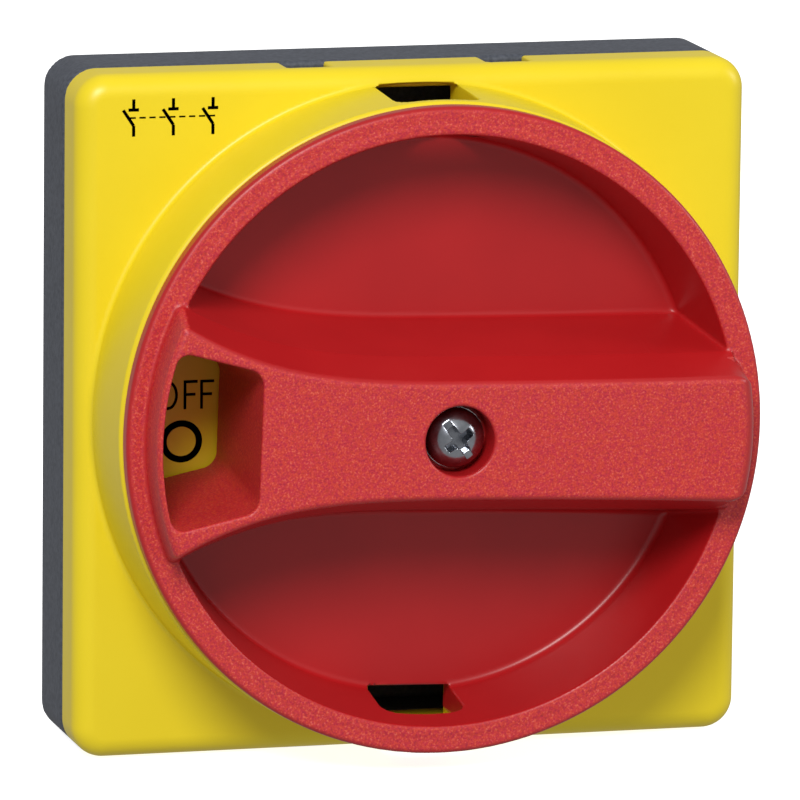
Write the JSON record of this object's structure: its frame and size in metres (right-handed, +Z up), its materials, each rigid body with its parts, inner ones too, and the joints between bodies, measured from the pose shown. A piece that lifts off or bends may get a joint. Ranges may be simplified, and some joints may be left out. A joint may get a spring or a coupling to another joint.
{
  "type": "rotary isolator switch",
  "caption": "Panel-mounted rotary isolator with a square yellow plate, a padlockable collar, a round red knob with a grip bar, and a switch block behind the panel.",
  "frame": {"origin": "on the knob's axis, in the plane where the mounting base meets the panel", "axes": "+Z up, +X to the right seen from the front, the front faces -Y, +Y goes behind the panel"},
  "size_m": [0.065, 0.0716, 0.065],
  "materials": {
    "grey_plastic": "fine moulded grain",
    "yellow_plastic": "satin moulded",
    "red_plastic": "spark-eroded texture on rim and bar, smooth dish",
    "black_plastic": "moulded",
    "light_plastic": "moulded",
    "rubber": "matt",
    "zinc_steel": "bright zinc plate",
    "brass": "turned",
    "copper": "punched strip"
  },
  "bodies": {
    "housing": {"mounting_base": "grey_plastic", "panel_gasket": "rubber", "fixing_screw_1": "zinc_steel", "fixing_screw_2": "zinc_steel", "fixing_screw_3": "zinc_steel", "fixing_screw_4": "zinc_steel", "front_cover": "yellow_plastic", "switch_flange": "grey_plastic", "threaded_insert_1": "brass", "threaded_insert_2": "brass", "threaded_insert_3": "brass", "threaded_insert_4": "brass", "latch_housing": "black_plastic", "deck_housing_1": "grey_plastic", "fixed_contact_1_top": "copper", "wire_clamp_1_top": "zinc_steel", "terminal_screw_1_top": "zinc_steel", "fixed_contact_1_bottom": "copper", "wire_clamp_1_bottom": "zinc_steel", "terminal_screw_1_bottom": "zinc_steel", "deck_housing_2": "grey_plastic", "fixed_contact_2_top": "copper", "wire_clamp_2_top": "zinc_steel", "terminal_screw_2_top": "zinc_steel", "fixed_contact_2_bottom": "copper", "wire_clamp_2_bottom": "zinc_steel", "terminal_screw_2_bottom": "zinc_steel", "deck_housing_3": "grey_plastic", "fixed_contact_3_top": "copper", "wire_clamp_3_top": "zinc_steel", "terminal_screw_3_top": "zinc_steel", "fixed_contact_3_bottom": "copper", "wire_clamp_3_bottom": "zinc_steel", "terminal_screw_3_bottom": "zinc_steel", "end_cap": "grey_plastic", "tie_bolt_1": "zinc_steel", "tie_bolt_2": "zinc_steel"},
    "knob_and_rotor": {"knob": "red_plastic", "knob_screw": "zinc_steel", "knob_lock_washer": "zinc_steel", "drive_coupler": "black_plastic", "knob_seal_ring": "rubber", "drive_shaft": "zinc_steel", "detent_rotor": "light_plastic", "detent_spring_1": "zinc_steel", "detent_spring_2": "zinc_steel", "contact_rotor_1": "light_plastic", "contact_blade_1": "copper", "contact_rotor_2": "light_plastic", "contact_blade_2": "copper", "contact_rotor_3": "light_plastic", "contact_blade_3": "copper"},
    "detent_ball_a": {"detent_ball_1": "zinc_steel"},
    "detent_ball_b": {"detent_ball_2": "zinc_steel"}
  },
  "joints": [
    {"name": "knob_turn", "type": "hinge", "parent": "housing", "child": "knob_and_rotor", "pos_m": [0, 0, 0], "axis": [0, 1, 0], "range_deg": [0, 90]},
    {"name": "detent_ball_a_slide", "type": "slide", "parent": "knob_and_rotor", "child": "detent_ball_a", "axis": [1, 0, 0], "range_m": [0, 0.0005]},
    {"name": "detent_ball_b_slide", "type": "slide", "parent": "knob_and_rotor", "child": "detent_ball_b", "axis": [-1, 0, 0], "range_m": [0, 0.0005]}
  ]
}
